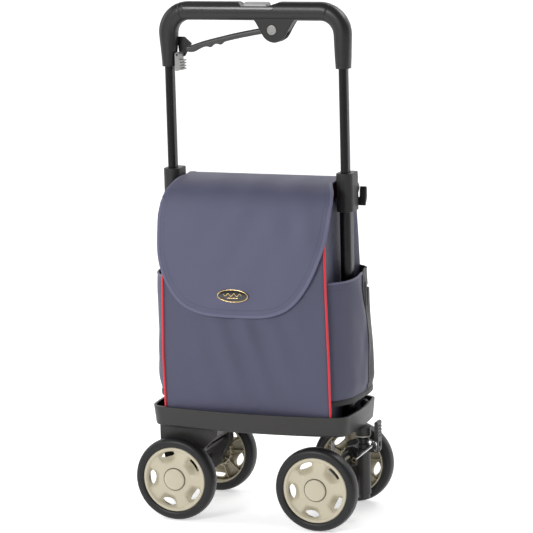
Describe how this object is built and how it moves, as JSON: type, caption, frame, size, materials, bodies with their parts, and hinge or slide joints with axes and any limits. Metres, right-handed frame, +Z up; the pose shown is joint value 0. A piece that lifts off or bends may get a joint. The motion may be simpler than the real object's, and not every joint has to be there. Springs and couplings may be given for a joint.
{
  "type": "shopping trolley on wheels",
  "caption": "Side-pushed shopping trolley with a flap bag on a tray, two telescopic posts, a bar grip with brake lever, fixed rear wheels and a swivelling front pair.",
  "frame": {"origin": "on the floor under the middle of the trolley", "axes": "+Z up, X along the grip bar towards the swivelling front wheels, -Y towards the side of the bag with the flap"},
  "size_m": [0.4263, 0.228, 0.917],
  "materials": {
    "tray_plastic": "satin",
    "sheet_steel": "satin",
    "bright_steel": "satin",
    "chrome": "polished",
    "washer_plastic": "matte",
    "post_paint": "satin",
    "collar_plastic": "satin",
    "grip_plastic": "satin",
    "inlay_rubber": "satin",
    "button_plastic": "satin",
    "lever_paint": "satin",
    "rivet_steel": "brushed",
    "latch_plastic": "satin",
    "bag_fabric": "woven",
    "flap_fabric": "woven",
    "gusset_fabric": "woven",
    "board": "matte",
    "badge_metal": "satin",
    "zip_metal": "polished",
    "zip_tape": "woven",
    "zip_tongue": "matte",
    "rim_plastic": "satin",
    "tyre": "matte"
  },
  "bodies": {
    "chassis": {"base_tray": "tray_plastic", "base_plate": "sheet_steel", "floor_knob": "tray_plastic", "rear_housing": "tray_plastic", "rear_axle": "bright_steel", "lower_tube_rear": "post_paint", "lower_tube_front": "post_paint", "collar_rear": "collar_plastic", "collar_front": "collar_plastic", "lock_pins": "bright_steel", "bag_body": "bag_fabric", "bag_board": "board", "side_pocket_rear": "bag_fabric", "side_pocket_front": "bag_fabric", "pocket_gusset_rear": "gusset_fabric", "pocket_gusset_front": "gusset_fabric", "zip_chain": "zip_tape"},
    "handle": {"grip": "grip_plastic", "grip_inlay": "inlay_rubber", "upper_tube_rear": "post_paint", "upper_tube_front": "post_paint", "lever_rivet": "rivet_steel", "latch_bracket": "grip_plastic"},
    "button": {"grip_button": "button_plastic"},
    "hand_lever": {"brake_lever": "lever_paint"},
    "latch": {"parking_latch": "latch_plastic"},
    "rear_brake": {"rear_brake_rocker": "sheet_steel"},
    "front_end": {"front_fork": "tray_plastic", "front_axle": "bright_steel", "kingpin": "bright_steel", "swivel_washer": "washer_plastic", "brake_spring": "chrome"},
    "pedal": {"brake_pedal": "tray_plastic", "pedal_pin": "bright_steel"},
    "link": {"link_rod": "chrome"},
    "front_brake": {"front_brake_rocker": "sheet_steel"},
    "lock_rear": {"lock_lever_rear": "collar_plastic"},
    "lock_front": {"lock_lever_front": "collar_plastic"},
    "cover": {"flap": "flap_fabric", "badge": "badge_metal"},
    "zip_runner": {"zip_slider": "zip_metal"},
    "zip_tongue": {"zip_pull": "zip_tongue"},
    "wheel_rear_near": {"tyre_rear_near": "tyre", "rim_rear_near": "rim_plastic", "hub_cap_rear_near": "rim_plastic", "bush_rear_near": "washer_plastic"},
    "wheel_rear_far": {"tyre_rear_far": "tyre", "rim_rear_far": "rim_plastic", "hub_cap_rear_far": "rim_plastic", "bush_rear_far": "washer_plastic"},
    "wheel_front_near": {"tyre_front_near": "tyre", "rim_front_near": "rim_plastic", "hub_cap_front_near": "rim_plastic", "bush_front_near": "washer_plastic"},
    "wheel_front_far": {"tyre_front_far": "tyre", "rim_front_far": "rim_plastic", "hub_cap_front_far": "rim_plastic", "bush_front_far": "washer_plastic"}
  },
  "joints": [
    {"name": "handle_height", "type": "slide", "parent": "chassis", "child": "handle", "axis": [0, 0, 1], "range_m": [-0.12, 0]},
    {"name": "button_press", "type": "slide", "parent": "handle", "child": "button", "axis": [0, 0, -1], "range_m": [0, 0.003], "stiffness_N_per_m": 300, "springref_m": -0.002},
    {"name": "lever_squeeze", "type": "hinge", "parent": "handle", "child": "hand_lever", "pos_m": [0.037, 0, 0.8685], "axis": [0, 1, 0], "range_deg": [0, 12], "stiffness_Nm_per_rad": 1.5, "springref_deg": -8.59},
    {"name": "rear_brake_turn", "type": "hinge", "parent": "chassis", "child": "rear_brake", "pos_m": [-0.1033, 0, 0.1138], "axis": [0, 1, 0], "range_deg": [-8, 0]},
    {"name": "latch_turn", "type": "hinge", "parent": "handle", "child": "latch", "pos_m": [-0.1445, 0, 0.823], "axis": [0, 1, 0], "range_deg": [-35, 0]},
    {"name": "front_swivel", "type": "hinge", "parent": "chassis", "child": "front_end", "pos_m": [0.186, 0, 0.148], "axis": [0, 0, 1], "range_deg": [-45, 45]},
    {"name": "pedal_press", "type": "hinge", "parent": "front_end", "child": "pedal", "pos_m": [0.212, 0, 0.128], "axis": [0, 1, 0], "range_deg": [0, 16], "stiffness_Nm_per_rad": 0.6, "springref_deg": -11.46},
    {"name": "link_turn", "type": "hinge", "parent": "pedal", "child": "link", "pos_m": [0.2124, -0.02, 0.141], "axis": [0, 1, 0], "range_deg": [-30, 5]},
    {"name": "front_brake_turn", "type": "hinge", "parent": "front_end", "child": "front_brake", "pos_m": [0.1633, 0, 0.1218], "axis": [0, 1, 0], "range_deg": [-12, 0]},
    {"name": "lock_rear_flip", "type": "hinge", "parent": "chassis", "child": "lock_rear", "pos_m": [-0.163, 0.033, 0.59], "axis": [1, 0, 0], "range_deg": [0, 80]},
    {"name": "lock_front_flip", "type": "hinge", "parent": "chassis", "child": "lock_front", "pos_m": [0.163, 0.033, 0.59], "axis": [1, 0, 0], "range_deg": [0, 80]},
    {"name": "cover_lift", "type": "hinge", "parent": "chassis", "child": "cover", "pos_m": [0, 0.08, 0.6], "axis": [-1, 0, 0], "range_deg": [0, 95]},
    {"name": "zip_run", "type": "slide", "parent": "chassis", "child": "zip_runner", "axis": [0, 0, 1], "range_m": [-0.17, 0]},
    {"name": "pull_swing", "type": "hinge", "parent": "zip_runner", "child": "zip_tongue", "pos_m": [0.1924, 0.022, 0.415], "axis": [0, -1, 0], "range_deg": [0, 80]},
    {"name": "spin_rear_near", "type": "hinge", "parent": "chassis", "child": "wheel_rear_near", "pos_m": [-0.1333, -0.099, 0.075], "axis": [0, 1, 0], "continuous": true},
    {"name": "spin_rear_far", "type": "hinge", "parent": "chassis", "child": "wheel_rear_far", "pos_m": [-0.1333, 0.099, 0.075], "axis": [0, 1, 0], "continuous": true},
    {"name": "spin_front_near", "type": "hinge", "parent": "front_end", "child": "wheel_front_near", "pos_m": [0.1333, -0.099, 0.075], "axis": [0, 1, 0], "continuous": true},
    {"name": "spin_front_far", "type": "hinge", "parent": "front_end", "child": "wheel_front_far", "pos_m": [0.1333, 0.099, 0.075], "axis": [0, 1, 0], "continuous": true}
  ],
  "couplings": [
    {"joint": "rear_brake_turn", "follows": "lever_squeeze", "ratio": -0.6},
    {"joint": "link_turn", "follows": "pedal_press", "ratio": -0.7569},
    {"joint": "front_brake_turn", "follows": "pedal_press", "ratio": -0.511}
  ]
}
